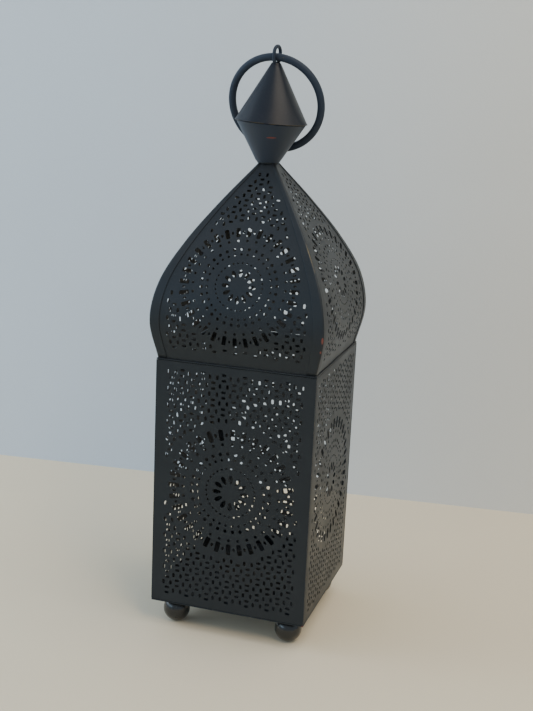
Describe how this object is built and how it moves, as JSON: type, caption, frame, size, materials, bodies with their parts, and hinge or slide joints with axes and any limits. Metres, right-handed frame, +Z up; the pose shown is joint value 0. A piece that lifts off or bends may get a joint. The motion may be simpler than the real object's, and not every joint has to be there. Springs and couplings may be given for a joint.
{
  "type": "moroccan metal lantern",
  "caption": "Square perforated sheet-metal candle lantern with an onion dome, a double-cone finial, a carrying ring, ball feet and a hinged door at the back.",
  "frame": {"origin": "on the floor, under the middle of the square body", "axes": "+Z up; the front faces -Y, the door opens at the back (+Y); +X is the lantern's side on the right when seen from the front"},
  "size_m": [0.113, 0.113, 0.3788],
  "materials": {
    "black_satin": "satin black powder coat on sheet steel",
    "black_gloss": "semi-gloss black paint on ball feet",
    "black_iron": "matt black paint on round wire",
    "dark_steel": "darkened steel",
    "tinned_steel": "dull tinned sheet"
  },
  "bodies": {
    "lantern": {"base_pan": "black_satin", "foot_front_left": "black_gloss", "foot_front_right": "black_gloss", "foot_rear_left": "black_gloss", "foot_rear_right": "black_gloss", "front_panel": "black_satin", "left_panel": "black_satin", "right_panel": "black_satin", "back_frame": "black_satin", "top_collar": "black_satin", "dome_panel_front": "black_satin", "dome_panel_right": "black_satin", "dome_panel_back": "black_satin", "dome_panel_left": "black_satin", "ridge_strip_front_right": "black_satin", "ridge_strip_rear_right": "black_satin", "ridge_strip_rear_left": "black_satin", "ridge_strip_front_left": "black_satin", "lower_cone": "black_satin", "upper_cone": "black_satin", "hanger_wire": "black_iron", "apex_washer": "dark_steel", "candle_cup": "tinned_steel", "cup_rivet": "dark_steel", "hinge_leaf_frame_lower": "black_satin", "hinge_leaf_frame_upper": "black_satin", "hinge_pin_lower": "dark_steel", "hinge_pin_upper": "dark_steel", "frame_rivet_lower_low": "dark_steel", "frame_rivet_lower_high": "dark_steel", "frame_rivet_upper_low": "dark_steel", "frame_rivet_upper_high": "dark_steel", "button_washer": "dark_steel", "button_rivet": "dark_steel"},
    "door": {"door_panel": "black_satin", "hinge_leaf_door_lower": "black_satin", "hinge_leaf_door_upper": "black_satin", "door_rivet_lower_low": "dark_steel", "door_rivet_lower_high": "dark_steel", "door_rivet_upper_low": "dark_steel", "door_rivet_upper_high": "dark_steel", "door_knob": "dark_steel"},
    "button": {"turn_button": "black_satin"},
    "ring": {"carry_ring": "black_iron"}
  },
  "joints": [
    {"name": "door_hinge", "type": "hinge", "parent": "lantern", "child": "door", "pos_m": [-0.0445, 0.0544, 0.10089], "axis": [0, 0, 1], "range_deg": [0, 170]},
    {"name": "button_turn", "type": "hinge", "parent": "lantern", "child": "button", "pos_m": [0.0475, 0.0541, 0.10089], "axis": [0, 1, 0], "range_deg": [0, 90]},
    {"name": "ring_swing", "type": "hinge", "parent": "lantern", "child": "ring", "pos_m": [0.00209, 0, 0.37122], "axis": [0.9989, 0, -0.0471], "range_deg": [0, 330]}
  ]
}
